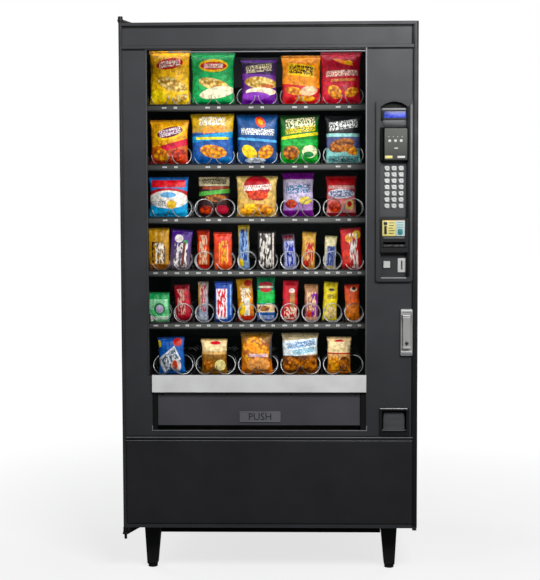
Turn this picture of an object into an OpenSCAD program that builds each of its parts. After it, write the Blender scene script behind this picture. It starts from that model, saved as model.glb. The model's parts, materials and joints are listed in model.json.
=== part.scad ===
// Snack vending machine: a free-standing steel cabinet on legs, with a glazed hinged door,
// six sliding product trays, wire spirals, a selection panel and a delivery bin.
// Sizes are in millimetres. The front faces -Y, +X is to the right of someone facing it,
// and +Z is up. The origin is on the floor below the middle of the machine.

/* [Body] */
// Width of the cabinet and of the door
body_w = 978; // [972:1:984]
// Depth from the front of the handle to the rear panel
body_d = 889; // [885:1:893]
// Height of the top of the cabinet and door above the floor
body_top = 1829; // [1825:1:1833]
// Height of the bottom of the cabinet and door above the floor
body_bottom = 164; // [161:1:167]
// Thickness of the sheet steel
sheet = 2.5; // [2:0.1:3]

/* [Door] */
// Depth of the door pan
door_d = 96; // [94:1:97]
// How far the panels are sunk behind the door's rim
sunk = 6; // [5:0.5:6.5]
// Radius of the hinge pin
pin_r = 4.5; // [4:0.1:4.8]

/* [Trays] */
// Distance from one column to the next
column_pitch = 73.3; // [72.8:0.1:73.5]
// Height of the top tray's front edge
tray_top_z = 1576; // [1572:1:1580]
// Drop from the top tray to the second
tray_first_drop = 199.5; // [197:0.5:201]
// Drop from each later tray to the next
tray_pitch = 179.4; // [178:0.2:180]

/* [Spirals] */
// Radius of a spiral, from its axis to the middle of the wire
coil_r = 31.25; // [30:1.25:31.25]
// Radius of the wire
wire_r = 2; // [1.5:0.1:2]
// Turns in a spiral for packets, which work in pairs
packet_turns = 8; // [7:1:8]
// Turns in a spiral for bars, which work singly
bar_turns = 12; // [10:1:12]

/* [Keypad] */
// Width of a key
key_w = 16.5; // [15:0.5:17]
// Height of a key
key_h = 15.5; // [14:0.5:16]
// How far a key can be pressed
key_travel = 2.5; // [1.5:0.1:2.5]

/* [Hidden] */
KEY_COLUMNS = 3;
KEY_ROWS = 7;
TRAYS = 6;
COLUMNS = 10;
// Sine and cosine of the slope of a half turn; both are exact decimals, so that half turns meet exactly
PACKET_SLOPE = [0.5376, 0.8432];
BAR_SLOPE = [0.352, 0.936];
// Trays and columns whose spirals are modelled as turning parts: [name, tray, column, hand]
TURNING = [
  ["spiral_1_left", 1, 4, 1],
  ["spiral_1_right", 1, 5, -1],
  ["spiral_4", 4, 4, 1],
  ["spiral_5", 5, 4, 1],
  ["spiral_6_left", 6, 4, 1],
  ["spiral_6_right", 6, 5, -1],
];
$fn = 48;

half_w = body_w / 2;
handle_proud = 14.5;
door_front = -body_d / 2 + handle_proud;
door_back = door_front + door_d;
panel_front = door_front + sunk;
skin_back = panel_front + sheet;
cabinet_front = door_front + 100;
cabinet_back = body_d / 2 - 3.5;
running_gap = 0.05;
eps = 1;

// Hinge axis of the door, just inside its front left corner
hinge_x = -half_w + 7;
hinge_y = door_front + 9;

// Window, delivery opening and the columns beside them
window_x = [-398, 318];
window_z = [675, 1742];
delivery_x = [-388, 320];
delivery_z = [490, 618];
bin_wall = 2.5;
bin_back = -270;

// Selection panel on the right of the door
fascia_x = [350.5, 470.2];
fascia_z = [984, 1575];
fascia_front = door_front - 6;
fascia_floor = -418;
fascia_floor_back = -414;
module_x = [364, 456];
module_body_x = [372, 448];
module_inset = 7;
reader_z = [1377, 1486];
validator_z = [1079, 1191];

// Keypad
key_pitch_x = 22.95;
key_pitch_z = 20.47;
key_mid_x = 410.1;
key_top_z = 1353.9;
keypad_front = fascia_floor - 3;

// Coin cup and coin return
cup_x = [363.8, 461.5];
cup_z = [472.7, 566.4];
cup_axis_y = -411.5;
cup_axis_z = 551;
return_x = 387;
return_z = 1039.5;
return_w = 22;

// Delivery flap
flap_axis_y = -411;
flap_axis_z = 610;

// Handle
spindle_x = 451.5;
spindle_z = 862;
lever_axis_y = -441.35;
lever_axis_z = 872;

// Trays
tray_mid_x = -43;
tray_w = 740;
tray_front = -292;
tray_back = 320;
tray_sheet = 2;
strip_h = 23;
liner_left = -420;
liner_right = 334;

charcoal = "#47484c";
black_steel = "#1b1b1d";
near_black = "#111113";
bright = "#c9ccd0";

// ---- Basic shapes ----

// Box between two limits on each axis
module span(x, y, z) {
  translate([x[0], y[0], z[0]]) cube([x[1] - x[0], y[1] - y[0], z[1] - z[0]]);
}

// Rectangle with round corners
module rounded(x, z, r) {
  translate([x[0] + r, z[0]]) square([x[1] - x[0] - 2 * r, z[1] - z[0]]);
  translate([x[0], z[0] + r]) square([x[1] - x[0], z[1] - z[0] - 2 * r]);
  for (cx = [x[0] + r, x[1] - r], cz = [z[0] + r, z[1] - r]) translate([cx, cz]) circle(r);
}

// Turns a flat shape to stand upright, from the first depth back to the second
module upright(y) {
  translate([0, y[1], 0]) rotate([90, 0, 0]) linear_extrude(y[1] - y[0]) children();
}

// Upright plate with round corners
module plate(x, y, z, r) {
  upright(y) rounded(x, z, r);
}

// Round bars along each axis
module rod_x(x, y, z, r) {
  translate([x[0], y, z]) rotate([0, 90, 0]) cylinder(r = r, h = x[1] - x[0]);
}

module rod_y(x, y, z, r) {
  translate([x, y[1], z]) rotate([90, 0, 0]) cylinder(r = r, h = y[1] - y[0]);
}

module rod_z(x, y, z, r) {
  translate([x, y, z[0]]) cylinder(r = r, h = z[1] - z[0]);
}

// ---- Cabinet ----

cabinet_inside_x = [-half_w + sheet, half_w - sheet];
cabinet_inside_z = [body_bottom + sheet, body_top - sheet];
cabinet_lip = 25;

module cabinet_shell() color(charcoal) {
  lip_x = [-half_w + cabinet_lip, half_w - cabinet_lip];
  lip_z = [body_bottom + cabinet_lip, body_top - cabinet_lip];
  difference() {
    span([-half_w, half_w], [cabinet_front, cabinet_back], [body_bottom, body_top]);
    span(cabinet_inside_x, [cabinet_front + sheet, cabinet_back - sheet], cabinet_inside_z);
    span(lip_x, [cabinet_front - eps, cabinet_back + eps], lip_z);
  }
}

inlet_x = [380, 408];
inlet_z = [250, 270];

module rear_panel() color(charcoal) {
  back = cabinet_back + 2;
  slot_w = 110;
  slot_h = 6;
  slot_pitch = 18;
  difference() {
    span([-half_w + 6, half_w - 6], [cabinet_back, back], [body_bottom + 6, body_top - 6]);
    span([inlet_x[0] - 2, inlet_x[1] + 2], [cabinet_back - eps, back + eps], [inlet_z[0] - 2, inlet_z[1] + 2]);
    for (x = [-200, 0, 200], z = [260, 1600], i = [0:5])
      translate([x - slot_w / 2, cabinet_back - eps, z + i * slot_pitch])
        cube([slot_w, 2 + 2 * eps, slot_h]);
  }
  for (x = [-200, 0, 200], z = [260, 1600], i = [0:5])
    translate([x - slot_w / 2, back, z + i * slot_pitch + slot_h])
      cube([slot_w, 1.5, 4]);
}

leg_top = 57;
leg_outer_x = 431;
leg_inner_x = leg_outer_x - leg_top;
foot_w = 35.5;
leg_base_z = 12;
frame_bottom = 123;
stem_r = 6;
foot_x = 404.8;
foot_inset = 19.5;

// Four corner positions, mirrored from the front right one
module corners() {
  middle = (cabinet_front + cabinet_back) / 2;
  for (sx = [0, 1], sy = [0, 1])
    translate([0, middle, 0]) mirror([sx, 0, 0]) mirror([0, sy, 0]) translate([0, -middle, 0]) children();
}

module base_frame() color(near_black) {
  bar = 30;
  back = cabinet_back;
  long = [cabinet_front + leg_top, back - leg_top];
  for (y = [cabinet_front, back - bar])
    difference() {
      span([-leg_inner_x, leg_inner_x], [y, y + bar], [frame_bottom, body_bottom]);
      span([-leg_inner_x - eps, leg_inner_x + eps], [y + 3, y + bar - 3], [frame_bottom - eps, body_bottom - 3]);
    }
  for (x = [-leg_inner_x - bar - 8, leg_inner_x + 8])
    difference() {
      span([x, x + bar], long, [frame_bottom, body_bottom]);
      span([x + 3, x + bar - 3], [long[0] - eps, long[1] + eps], [frame_bottom - eps, body_bottom - 3]);
    }
}

// One leg tapers to its foot on three sides
module leg() {
  difference() {
    intersection() {
      upright([cabinet_front, cabinet_front + leg_top])
        polygon([
          [leg_inner_x, body_bottom],
          [foot_x - foot_w / 2, leg_base_z],
          [foot_x + foot_w / 2, leg_base_z],
          [leg_outer_x, body_bottom]
        ]);
      translate([leg_inner_x, 0, 0])
        rotate([90, 0, 90])
          linear_extrude(leg_top)
            polygon([
              [cabinet_front, body_bottom],
              [cabinet_front + 3, leg_base_z],
              [cabinet_front + 3 + foot_w, leg_base_z],
              [cabinet_front + leg_top, body_bottom]
            ]);
    }
    rod_z(foot_x, cabinet_front + foot_inset, [leg_base_z - eps, 50], stem_r + running_gap);
  }
}

module legs() color(near_black) corners() leg();

module levelling_feet() color("#2a2a2c") corners() {
  y = cabinet_front + foot_inset;
  rod_z(foot_x, y, [0, 8], 16);
  rod_z(foot_x, y, [7, 48], stem_r);
  translate([foot_x, y, 8]) cylinder(r = 10, h = leg_base_z - 8.2, $fn = 6);
}

// Hinge arm in plan, from the pin back to its foot on the cabinet
module hinge_arm(z) {
  translate([0, 0, z[0]]) linear_extrude(z[1] - z[0]) {
    translate([hinge_x, hinge_y]) circle(10);
    polygon([
      [hinge_x - 10, hinge_y],
      [hinge_x + 10, hinge_y],
      [-440, cabinet_front + 8],
      [-440, cabinet_front + 68],
      [-half_w + 3, cabinet_front + 68],
      [-half_w + 3, cabinet_front + 8]
    ]);
  }
}

module hinge_foot(z) {
  span([-half_w + 3, -440], [cabinet_front + 8, cabinet_front + 68], z);
}

module hinge_brackets() color("#55565a") {
  hinge_arm([body_top + 5, body_top + 11]);
  hinge_foot([body_top, body_top + 11]);
  rod_z(hinge_x, hinge_y, [body_top - 28, body_top + 5], pin_r);
  rod_z(hinge_x, hinge_y, [body_top + 0.3, body_top + 21], 8);
  hinge_arm([body_bottom - 24, body_bottom - 18]);
  hinge_foot([body_bottom - 24, body_bottom]);
  rod_z(hinge_x, hinge_y, [body_bottom - 40, body_bottom + 28], pin_r);
  rod_z(hinge_x, hinge_y, [body_bottom - 18, body_bottom - 0.3], 8);
}

// Height of a tray's front edge, and of its floor
function strip_z(tray) = tray == 1 ? tray_top_z : tray_top_z - tray_first_drop - (tray - 2) * tray_pitch;
function floor_z(tray) = strip_z(tray) - 4;

module tray_supports() color(near_black) {
  depth = [cabinet_front + 8, cabinet_back - sheet];
  rail_w = 20;
  rail_y = [-270, 300];
  for (x = [liner_left, liner_right]) span([x, x + 2], depth, cabinet_inside_z);
  for (t = [1:TRAYS]) {
    z = floor_z(t) - tray_sheet;
    span([liner_left + 2, liner_left + 2 + rail_w], rail_y, [z - 2, z]);
    span([liner_right - rail_w, liner_right], rail_y, [z - 2, z]);
  }
}

module cabinet_lamp() color("#e8e8e0") {
  x = [-400, 310];
  y = -285;
  tube_z = 1780;
  socket = 12;
  span(x, [y - 15, y + 15], [1796, cabinet_inside_z[1]]);
  for (s = [x[0], x[1] - socket]) span([s, s + socket], [y - 14, y + 14], [tube_z - 15, 1797]);
  rod_x([x[0] + socket - 2, x[1] - socket + 2], y, tube_z, 12);
}

module power_unit() color("#8b8d8f") {
  difference() {
    union() {
      span([345, 455], [330, cabinet_back - sheet], [cabinet_inside_z[0], 330]);
      span(inlet_x, [430, body_d / 2], inlet_z);
    }
    span([inlet_x[0] + 1.5, inlet_x[1] - 1.5], [430, body_d / 2 + eps], [inlet_z[0] + 1.5, inlet_z[1] - 1.5]);
  }
}

// ---- Door ----

door_corner_r = 10;
door_lip = 20;
door_height = body_top - body_bottom;

// The door in plan, with round front corners
module door_outline() {
  r = door_corner_r;
  translate([-half_w, door_front + r]) square([body_w, door_d - r]);
  translate([-half_w + r, door_front]) square([body_w - 2 * r, door_d]);
  for (x = [-half_w + r, half_w - r]) translate([x, door_front + r]) circle(r);
}

// Panels sunk into the door's front: header, main field, ledge groove and lower field
module door_recesses() {
  front = [door_front - eps, panel_front];
  main_x = [-half_w + 10, half_w - 17];
  span(main_x, front, [body_top - 75, body_top - 10]);
  span(main_x, front, [469, 1745]);
  span(main_x, [door_front - eps, door_front + 3], [460, 464]);
  span([-half_w + 10, half_w - 14], front, [body_bottom + 11, 455]);
}

// Openings that go right through the door's skin
module door_openings() {
  through = [door_front - eps, skin_back + eps];
  span(window_x, through, [window_z[0] - 3, window_z[1]]);
  span(delivery_x, through, delivery_z);
  span([fascia_x[0] + 9.5, fascia_x[1] - 12.2], through, [fascia_z[0] + 9, fascia_z[1] - 4]);
  span([368, 457], through, [479, 562]);
  rod_y(spindle_x, through, spindle_z, 9);
}

module door_frame() color(charcoal) {
  lip_x = [-half_w + door_lip, half_w - door_lip];
  lip_z = [body_bottom + door_lip, body_top - door_lip];
  boss_r = 6.5;
  boss_h = 30;
  difference() {
    union() {
      difference() {
        translate([0, 0, body_bottom]) linear_extrude(door_height) door_outline();
        span(cabinet_inside_x, [skin_back, door_back - sheet], cabinet_inside_z);
        span(lip_x, [door_back - 2 * sheet, door_back + eps], lip_z);
        door_recesses();
        door_openings();
      }
      for (z = [body_bottom, body_top - boss_h]) rod_z(hinge_x, hinge_y, [z, z + boss_h], boss_r);
      span([half_w - 15, half_w - 2], [door_front + 2, door_front + 30], [body_bottom - 8, body_bottom + 1]);
    }
    rod_z(hinge_x, hinge_y, [body_bottom - eps, body_bottom + boss_h + eps], pin_r + running_gap);
    rod_z(hinge_x, hinge_y, [body_top - boss_h - eps, body_top + eps], pin_r + running_gap);
  }
}

module window_glass() color("#9fb4b8", 0.35)
  span([window_x[0] - 10, window_x[1] + 10], [skin_back, skin_back + 5], [window_z[0] - 13, window_z[1] + 8]);

module lower_panel() color(black_steel)
  plate([-half_w + 13.2, half_w - 16], [panel_front - 4, panel_front], [178, 453], 3);

module sill_strip() color("#c4c5c4")
  span([-388, 320], [panel_front - 10, panel_front], [618, window_z[0]]);

// ---- Selection panel ----

// The sunk field of the fascia: a tall rectangle with an arched top
module fascia_field() {
  x = [364.8, 453.8];
  z = [997, 1551];
  rise = 18;
  half = (x[1] - x[0]) / 2;
  arch_r = (half * half + rise * rise) / (2 * rise);
  translate([x[0], z[0]]) square([x[1] - x[0], z[1] - z[0]]);
  intersection() {
    translate([x[0] + half, z[1] + rise - arch_r]) circle(arch_r);
    translate([x[0], z[1] - eps]) square([x[1] - x[0], rise + 2 * eps]);
  }
}

keys_x = [key_mid_x - 36, key_mid_x + 36];
keys_z = [key_top_z - (KEY_ROWS - 1) * key_pitch_z - 12, key_top_z + 12];

module fascia() color("#3c3d40") {
  through = [fascia_floor - eps, fascia_floor_back + eps];
  gap = 0.5;
  seat_gap = 0.2;
  difference() {
    union() {
      plate(fascia_x, [fascia_front, panel_front], fascia_z, 8);
      span([361, 457], [panel_front - eps, fascia_floor_back], [994, 1570]);
    }
    upright([fascia_front - eps, fascia_floor]) fascia_field();
    span([374.5, 446.5], through, [1515.5, 1542.5]);
    for (z = [reader_z, validator_z]) {
      span(
        [module_x[0] - seat_gap, module_x[1] + seat_gap],
        [fascia_front - eps, fascia_floor],
        [z[0] - seat_gap, z[1] + seat_gap]
      );
      span(
        [module_body_x[0] - gap, module_body_x[1] + gap],
        through,
        [z[0] + module_inset - gap, z[1] - module_inset + gap]
      );
    }
    span(keys_x, through, keys_z);
    span([425.5, 446.5], through, [1015.5, 1058.5]);
    plate(square_x(return_w / 2 + gap), through, square_z(return_w / 2 + gap), 2);
  }
}

// Limits of a square centred on the coin return
function square_x(h) = [return_x - h, return_x + h];
function square_z(h) = [return_z - h, return_z + h];

module display_module() color("#26272b") {
  difference() {
    plate([367, 452], [fascia_floor - 6, fascia_floor], [1511, 1550], 2);
    span([376, 450], [fascia_floor - 6 - eps, fascia_floor - 4], [1517, 1540]);
  }
  span([375, 446], [fascia_floor - eps, -400], [1516, 1542]);
}

// The part of a module that goes through the fascia, back to a given depth
module module_body(z, back)
  span(module_body_x, [fascia_floor - eps, back], [z[0] + module_inset, z[1] - module_inset]);

module card_reader() color("#55575a") {
  front = -body_d / 2;
  difference() {
    plate(module_x, [front, fascia_floor], reader_z, 2);
    span([371, 376], [front - eps, front + 12], [reader_z[0] - eps, reader_z[1] + eps]);
  }
  module_body(reader_z, -390);
}

// Calls its children at each key's place
module at_key(k) {
  column = k % KEY_COLUMNS;
  row = floor(k / KEY_COLUMNS);
  translate([key_mid_x + (column - 1) * key_pitch_x, 0, key_top_z - row * key_pitch_z]) children();
}

module keypad_panel() color("#505256") {
  gap = 0.4;
  difference() {
    plate([364.8 + gap, 452], [keypad_front, fascia_floor], [1196, 1372], 3);
    for (k = [0:KEY_COLUMNS * KEY_ROWS - 1])
      at_key(k)
        plate(
          [-key_w / 2 - gap, key_w / 2 + gap],
          [keypad_front - eps, fascia_floor + eps],
          [-key_h / 2 - gap, key_h / 2 + gap],
          3 + gap
        );
  }
}

// A key: a cap with round corners and a flange that keeps it behind the panel
module key(k) color("#d9d9d6") at_key(k) {
  cap_y = [keypad_front - key_travel - 3.5, fascia_floor + 0.5];
  plate([-key_w / 2, key_w / 2], cap_y, [-key_h / 2, key_h / 2], 3);
  span([-9.5, 9.5], [fascia_floor, fascia_floor + 1.5], [-9, 9]);
}

module bill_validator() color("#1d1e20") {
  front = door_front - 12;
  slot_z = [1106, 1113];
  difference() {
    union() {
      plate(module_x, [front, fascia_floor], validator_z, 3);
      span([370, 450], [-body_d / 2, front + eps], [1096, slot_z[0]]);
      module_body(validator_z, -296);
    }
    span([374, 446], [-body_d / 2 - eps, front + 50], slot_z);
  }
}

module coin_mechanism() color("#a9abae") {
  slot_x = [433.5, 438.5];
  changer_x = [364, 430];
  changer_y = [-404, -324];
  difference() {
    union() {
      plate([423, 448], [fascia_floor - 3, fascia_floor], [1014, 1060], 2);
      span([426, 446], [fascia_floor - eps, -380], [1016, 1058]);
      span([372, 446], [changer_y[0], -380], [984, 1017]);
      span(changer_x, changer_y, [640, 985]);
      span([385, 415], [changer_y[0], -380], [561, 641]);
    }
    span(slot_x, [fascia_floor - 3 - eps, -390], [1022, 1052]);
  }
}

module coin_return_button() color(bright) {
  plate(square_x(return_w / 2), [fascia_floor - 6, fascia_floor_back + 0.5], square_z(return_w / 2), 2);
  plate(square_x(13.5), [fascia_floor_back, fascia_floor_back + 1.5], square_z(13.5), 2);
}

// ---- Coin cup, delivery bin and their flaps ----

module coin_cup() color(near_black) {
  tub_x = [370, 455];
  tub_y = [panel_front - eps, -350];
  tub_z = [481, 560];
  difference() {
    union() {
      plate(cup_x, [panel_front - 6, panel_front], cup_z, 3);
      span(tub_x, tub_y, tub_z);
    }
    span(
      [tub_x[0] + sheet, tub_x[1] - sheet],
      [panel_front - 6 - eps, tub_y[1] - sheet],
      [tub_z[0] + sheet, tub_z[1] - sheet]
    );
    rod_x([tub_x[0] - eps, tub_x[1] + eps], cup_axis_y, cup_axis_z, 2 + running_gap);
  }
}

module coin_cup_flap() color("#2c2d30") {
  y = [cup_axis_y - 1.5, cup_axis_y + 1.5];
  plate([378, 447], y, [487, 552], 1);
  rod_x([371, 454], cup_axis_y, cup_axis_z, 2);
}

module delivery_bin() color(black_steel) {
  x = [delivery_x[0] - 2, delivery_x[1] + 2];
  z = [delivery_z[0] - 6, 632];
  cheek_y = [skin_back, -400];
  cheek = 17.5;
  difference() {
    union() {
      difference() {
        span(x, [skin_back, bin_back], z);
        span([x[0] + bin_wall, x[1] - bin_wall], [skin_back - eps, bin_back - bin_wall], [z[0] + 4, z[1] + eps]);
      }
      span([x[0] + eps, x[0] + cheek], cheek_y, [z[0] + eps, 616]);
      span([x[1] - cheek - 3, x[1] - eps], cheek_y, [z[0] + eps, 616]);
    }
    rod_x([x[0] + 8, x[1] - 8], flap_axis_y, flap_axis_z, 4 + running_gap);
  }
}

module delivery_flap() color("#3a3b3f") {
  x = [-371, 300];
  y = [flap_axis_y - 4, flap_axis_y - 1];
  span(x, y, [506, flap_axis_z]);
  span(x, [y[0] - 1.5, y[1]], [603, flap_axis_z + 3.5]);
  span([-100, 37], [y[0] - 1, y[1]], [516, 552]);
  rod_x([x[0] - 8, x[1] + 10], flap_axis_y, flap_axis_z, 4);
}

// ---- Handle ----

dish_x = [432.6, 470.8];
dish_z = [740, 893];
dish_front = panel_front - 10;

module handle_dish() color("#9a9c9f") {
  difference() {
    plate(dish_x, [dish_front, panel_front], dish_z, 3);
    plate([437, 466.5], [dish_front - eps, dish_front + 3], [756, 886], 2);
    rod_y(spindle_x, [dish_front - eps, panel_front + eps], spindle_z, 8 + running_gap);
  }
}

// The spindle turns the lock cam; its ears carry the lever
module handle_spindle() color("#7d7f82") {
  ear_x = [436, 467];
  ear = 2.3;
  head_y = [dish_front - 3.9, dish_front - 0.2];
  difference() {
    union() {
      span(ear_x, head_y, [852, 876]);
      for (x = [ear_x[0], ear_x[1] - ear]) span([x, x + ear], [-444.4, head_y[1]], [862, 876]);
    }
    rod_x([ear_x[0] - eps, ear_x[1] + eps], lever_axis_y, lever_axis_z, 1.5 + running_gap);
  }
  rod_y(spindle_x, [head_y[0] + 1, -398], spindle_z, 8);
  rod_y(spindle_x, [skin_back + 0.3, skin_back + 3], spindle_z, 12);
  span([spindle_x - 8, 482], [-402, -398], [spindle_z - 8, spindle_z + 8]);
}

module handle_lever() color(bright) {
  x = [439, 464];
  y = [-body_d / 2, -438.2];
  difference() {
    union() {
      span(x, y, [763, lever_axis_z]);
      rod_x(x, lever_axis_y, lever_axis_z, (y[1] - y[0]) / 2);
    }
    rod_y(spindle_x, [y[0] - eps, y[0] + 2], 781, 2);
  }
  rod_x([436.2, 466.8], lever_axis_y, lever_axis_z, 1.5);
}

// ---- Trays and spirals ----

// Trays 4 and 5 hold one spiral in each selection, and the others hold a pair
function single(tray) = tray == 4 || tray == 5;
function column_x(c) = tray_mid_x + (c - (COLUMNS - 1) / 2) * column_pitch;
function coil_z(tray) = floor_z(tray) + coil_r + wire_r + 0.3;

coil_front = -284;
hub_r = 9;
shaft_r = 4;

// A tray is made of separate pieces: price strip, floor, two side walls, rear wall, dividers and drives
module tray(t) color("#2b2b2b") {
  x = [tray_mid_x - tray_w / 2, tray_mid_x + tray_w / 2];
  top = strip_z(t);
  z = floor_z(t);
  step = single(t) ? 1 : 2;
  gap = 0.05;
  back_wall = [tray_back - tray_sheet, tray_back];
  floor_y = [tray_front + tray_sheet + gap, tray_back];
  wall_y = [floor_y[0], back_wall[0] - gap];
  span(x, [tray_front, tray_front + tray_sheet], [top - strip_h, top]);
  span(x, floor_y, [z - tray_sheet, z]);
  for (side = [x[0], x[1] - tray_sheet])
    span([side, side + tray_sheet], wall_y, [z + gap, z + 30]);
  difference() {
    span(x, back_wall, [z + gap, z + 75]);
    for (c = [0:COLUMNS - 1])
      rod_y(column_x(c), [back_wall[0] - eps, back_wall[1] + eps], coil_z(t), shaft_r + 0.3);
  }
  for (c = [step:step:COLUMNS - 1])
    span(
      [column_x(c) - column_pitch / 2 - 1, column_x(c) - column_pitch / 2 + 1],
      [tray_front + 8, wall_y[1]],
      [z + gap, z + 18]
    );
  for (c = [0:step:COLUMNS - 1])
    spiral_drive(column_x(c) + (step - 1) * column_pitch / 2, step, coil_z(t));
}

// Gear motor behind the tray's back wall, as wide as the spirals it turns
module spiral_drive(x, spirals, z) {
  w = 44 + (spirals - 1) * column_pitch;
  gap = 0.3;
  difference() {
    span([x - w / 2, x + w / 2], [tray_back + gap, tray_back + 40], [z - 28, z + 28]);
    for (i = [0:spirals - 1])
      rod_y(
        x + (i - (spirals - 1) / 2) * column_pitch,
        [tray_back, tray_back + 12],
        z,
        shaft_r + 0.3
      );
  }
}

// Half a turn of wire, tilted to lead on to the next half
module half_turn(slope, side) {
  rotate([0, 0, side * asin(slope[0])])
    rotate([side * 90, 0, 0])
      rotate_extrude(angle = 180) translate([coil_r, 0]) circle(wire_r);
}

// Wire spiral about the Y axis, clamped at the rear in the arm of its hub
module spiral(slope, turns) {
  quarter = coil_r * slope[0];
  rear = coil_front + 4 * quarter * turns;
  arm = 4;
  for (half = [0:2 * turns - 1])
    translate([0, coil_front + (2 * half + 1) * quarter, 0]) half_turn(slope, half % 2 == 0 ? 1 : -1);
  span([-coil_r * slope[1] - arm, 0], [rear - arm, rear + arm], [-arm, arm]);
  rod_y(0, [rear - 6, tray_back - tray_sheet - 0.3], 0, hub_r);
  rod_y(0, [rear, tray_back + 10], 0, shaft_r);
}

// A turning spiral in its place; the hand is -1 for the mirrored one of a pair
module turning_spiral(tray, column, hand) color(bright)
  translate([column_x(column), 0, coil_z(tray)])
    mirror([hand < 0 ? 1 : 0, 0, 0])
      rotate([0, -90, 0])
        spiral(single(tray) ? BAR_SLOPE : PACKET_SLOPE, single(tray) ? bar_turns : packet_turns);

// ---- The machine ----

cabinet_shell();
rear_panel();
base_frame();
legs();
levelling_feet();
hinge_brackets();
tray_supports();
cabinet_lamp();
power_unit();
door_frame();
window_glass();
lower_panel();
sill_strip();
fascia();
keypad_panel();
display_module();
card_reader();
bill_validator();
coin_mechanism();
coin_return_button();
coin_cup();
coin_cup_flap();
delivery_bin();
delivery_flap();
handle_dish();
handle_spindle();
handle_lever();
for (t = [1:TRAYS])
  tray(t);
for (s = TURNING)
  turning_spiral(s[1], s[2], s[3]);
for (k = [1:KEY_COLUMNS * KEY_ROWS])
  key(k - 1);
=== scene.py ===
"""Snack vending machine: pieces, materials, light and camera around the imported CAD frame.

The frame's front faces -Y and its Z is up. Pieces are drawn in millimetres and turned into metres at the end.
"""

import json
from functools import cache
from math import cos, exp, pi, radians, sin, sqrt

import bmesh
import bpy
import numpy as np
from mathutils import Matrix, Vector, noise

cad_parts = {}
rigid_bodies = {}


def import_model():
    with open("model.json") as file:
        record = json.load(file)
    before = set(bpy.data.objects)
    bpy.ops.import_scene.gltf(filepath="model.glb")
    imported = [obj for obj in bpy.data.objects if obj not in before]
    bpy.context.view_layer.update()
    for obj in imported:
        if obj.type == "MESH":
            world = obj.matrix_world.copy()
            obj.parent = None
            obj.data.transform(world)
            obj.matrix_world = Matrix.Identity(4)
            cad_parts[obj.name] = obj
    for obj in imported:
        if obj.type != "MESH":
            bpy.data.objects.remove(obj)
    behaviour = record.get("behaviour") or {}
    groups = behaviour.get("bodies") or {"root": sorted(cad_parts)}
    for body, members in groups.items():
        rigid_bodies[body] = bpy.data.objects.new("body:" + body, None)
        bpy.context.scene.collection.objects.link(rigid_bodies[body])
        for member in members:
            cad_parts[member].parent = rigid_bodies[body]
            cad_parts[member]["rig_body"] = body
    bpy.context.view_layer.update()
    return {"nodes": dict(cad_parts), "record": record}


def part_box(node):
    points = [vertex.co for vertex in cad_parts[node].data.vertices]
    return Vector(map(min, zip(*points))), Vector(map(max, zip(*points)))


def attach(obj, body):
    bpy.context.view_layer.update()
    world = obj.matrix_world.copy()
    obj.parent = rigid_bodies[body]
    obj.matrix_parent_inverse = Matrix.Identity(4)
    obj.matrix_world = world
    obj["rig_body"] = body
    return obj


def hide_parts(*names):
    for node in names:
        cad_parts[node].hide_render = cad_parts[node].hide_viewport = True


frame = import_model()
NODES = frame["nodes"]
SLOT_OF = {s["node"]: s["material_slot"] for s in frame["record"]["subparts"]}
scene = bpy.context.scene
MM = 0.001


# ---- places


class Box:
    """Extent of a CAD node in millimetres: a (low, high) pair for each axis."""

    def __init__(self, node):
        low, high = (corner * 1000 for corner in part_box(node))
        self.x, self.y, self.z = zip(low, high)


def span(value, low, high):
    """The range between two distances from a value."""
    return value + low, value + high


def inset(pair, low, high=None):
    """A range drawn in at its two ends."""
    return pair[0] + low, pair[1] - (low if high is None else high)


def mid(pair):
    return (pair[0] + pair[1]) / 2


# ---- scene tools


def add(name, data):
    """A new object in the scene."""
    made = bpy.data.objects.new(name, data)
    scene.collection.objects.link(made)
    return made


def as_mesh(name, bm, materials):
    """The finished mesh of a bmesh, with its materials."""
    mesh = bpy.data.meshes.new(name)
    bm.to_mesh(mesh)
    bm.free()
    for material in materials:
        mesh.materials.append(MATERIALS[material])
    return mesh


# ---- materials


def colour(tint):
    """Linear RGBA of an sRGB hex colour, or of what is RGBA already."""
    if not isinstance(tint, str):
        return tint
    values = [int(tint[i : i + 2], 16) / 255 for i in (0, 2, 4)]
    return tuple(v / 12.92 if v <= 0.04045 else ((v + 0.055) / 1.055) ** 2.4 for v in values) + (1.0,)


def scaled(tint, k):
    return tuple(min(v * k, 1.0) for v in colour(tint)[:3]) + (1.0,)


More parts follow.
